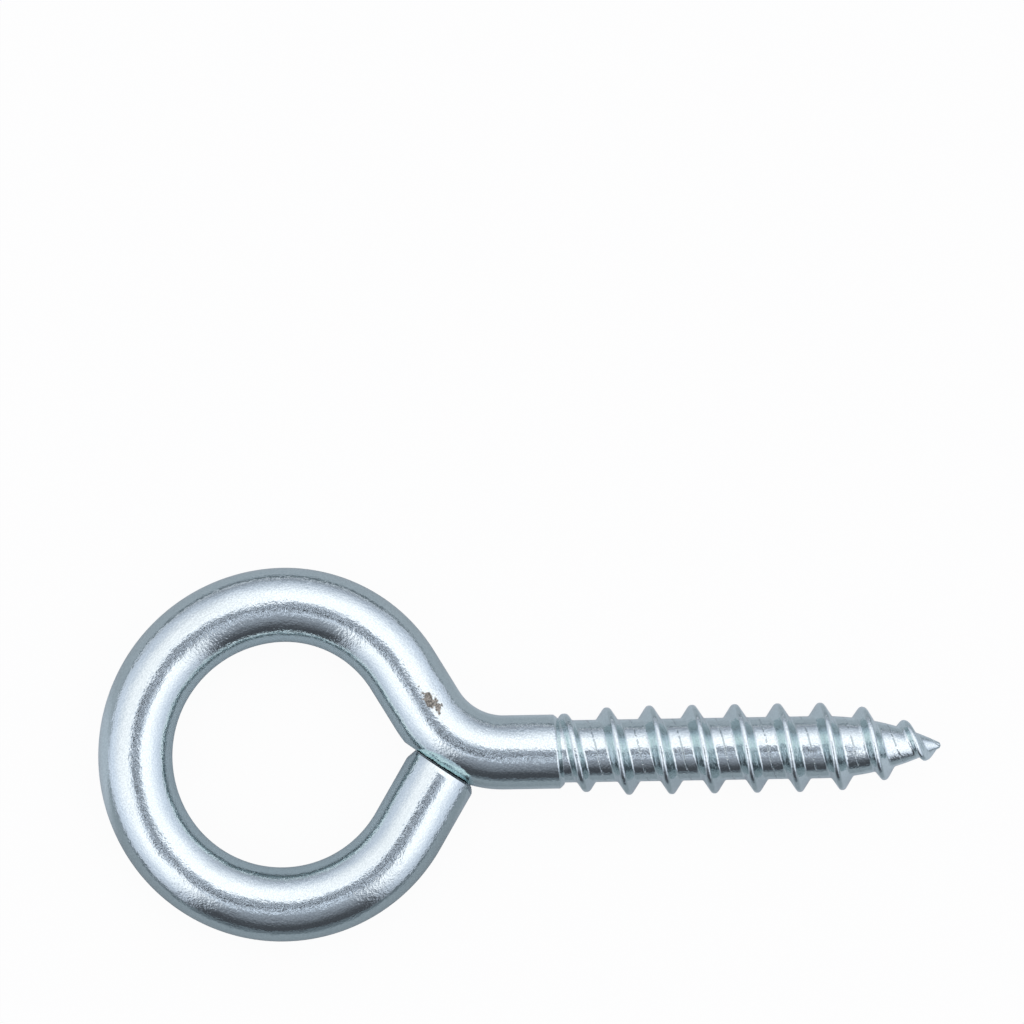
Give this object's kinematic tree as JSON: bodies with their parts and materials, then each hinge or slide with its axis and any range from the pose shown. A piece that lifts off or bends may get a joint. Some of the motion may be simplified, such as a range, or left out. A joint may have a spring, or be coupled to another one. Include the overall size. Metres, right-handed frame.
{
  "type": "screw eye",
  "caption": "Closed screw eye bent from one length of round steel wire, with a plain shank and a coarse right-hand wood thread ending in a gimlet point.",
  "frame": {"origin": "centre of the eye's crown, at the mid-plane of the wire", "axes": "+X along the shank's axis towards the point, +Z square to the plane of the eye, upwards as it lies"},
  "size_m": [0.0568, 0.0252, 0.006],
  "materials": {
    "zinc_plated_steel": "bright clear zinc plating over drawn steel wire, with a fine mottled grain"
  },
  "bodies": {
    "root": {"screw_eye": "zinc_plated_steel"}
  },
  "joints": []
}
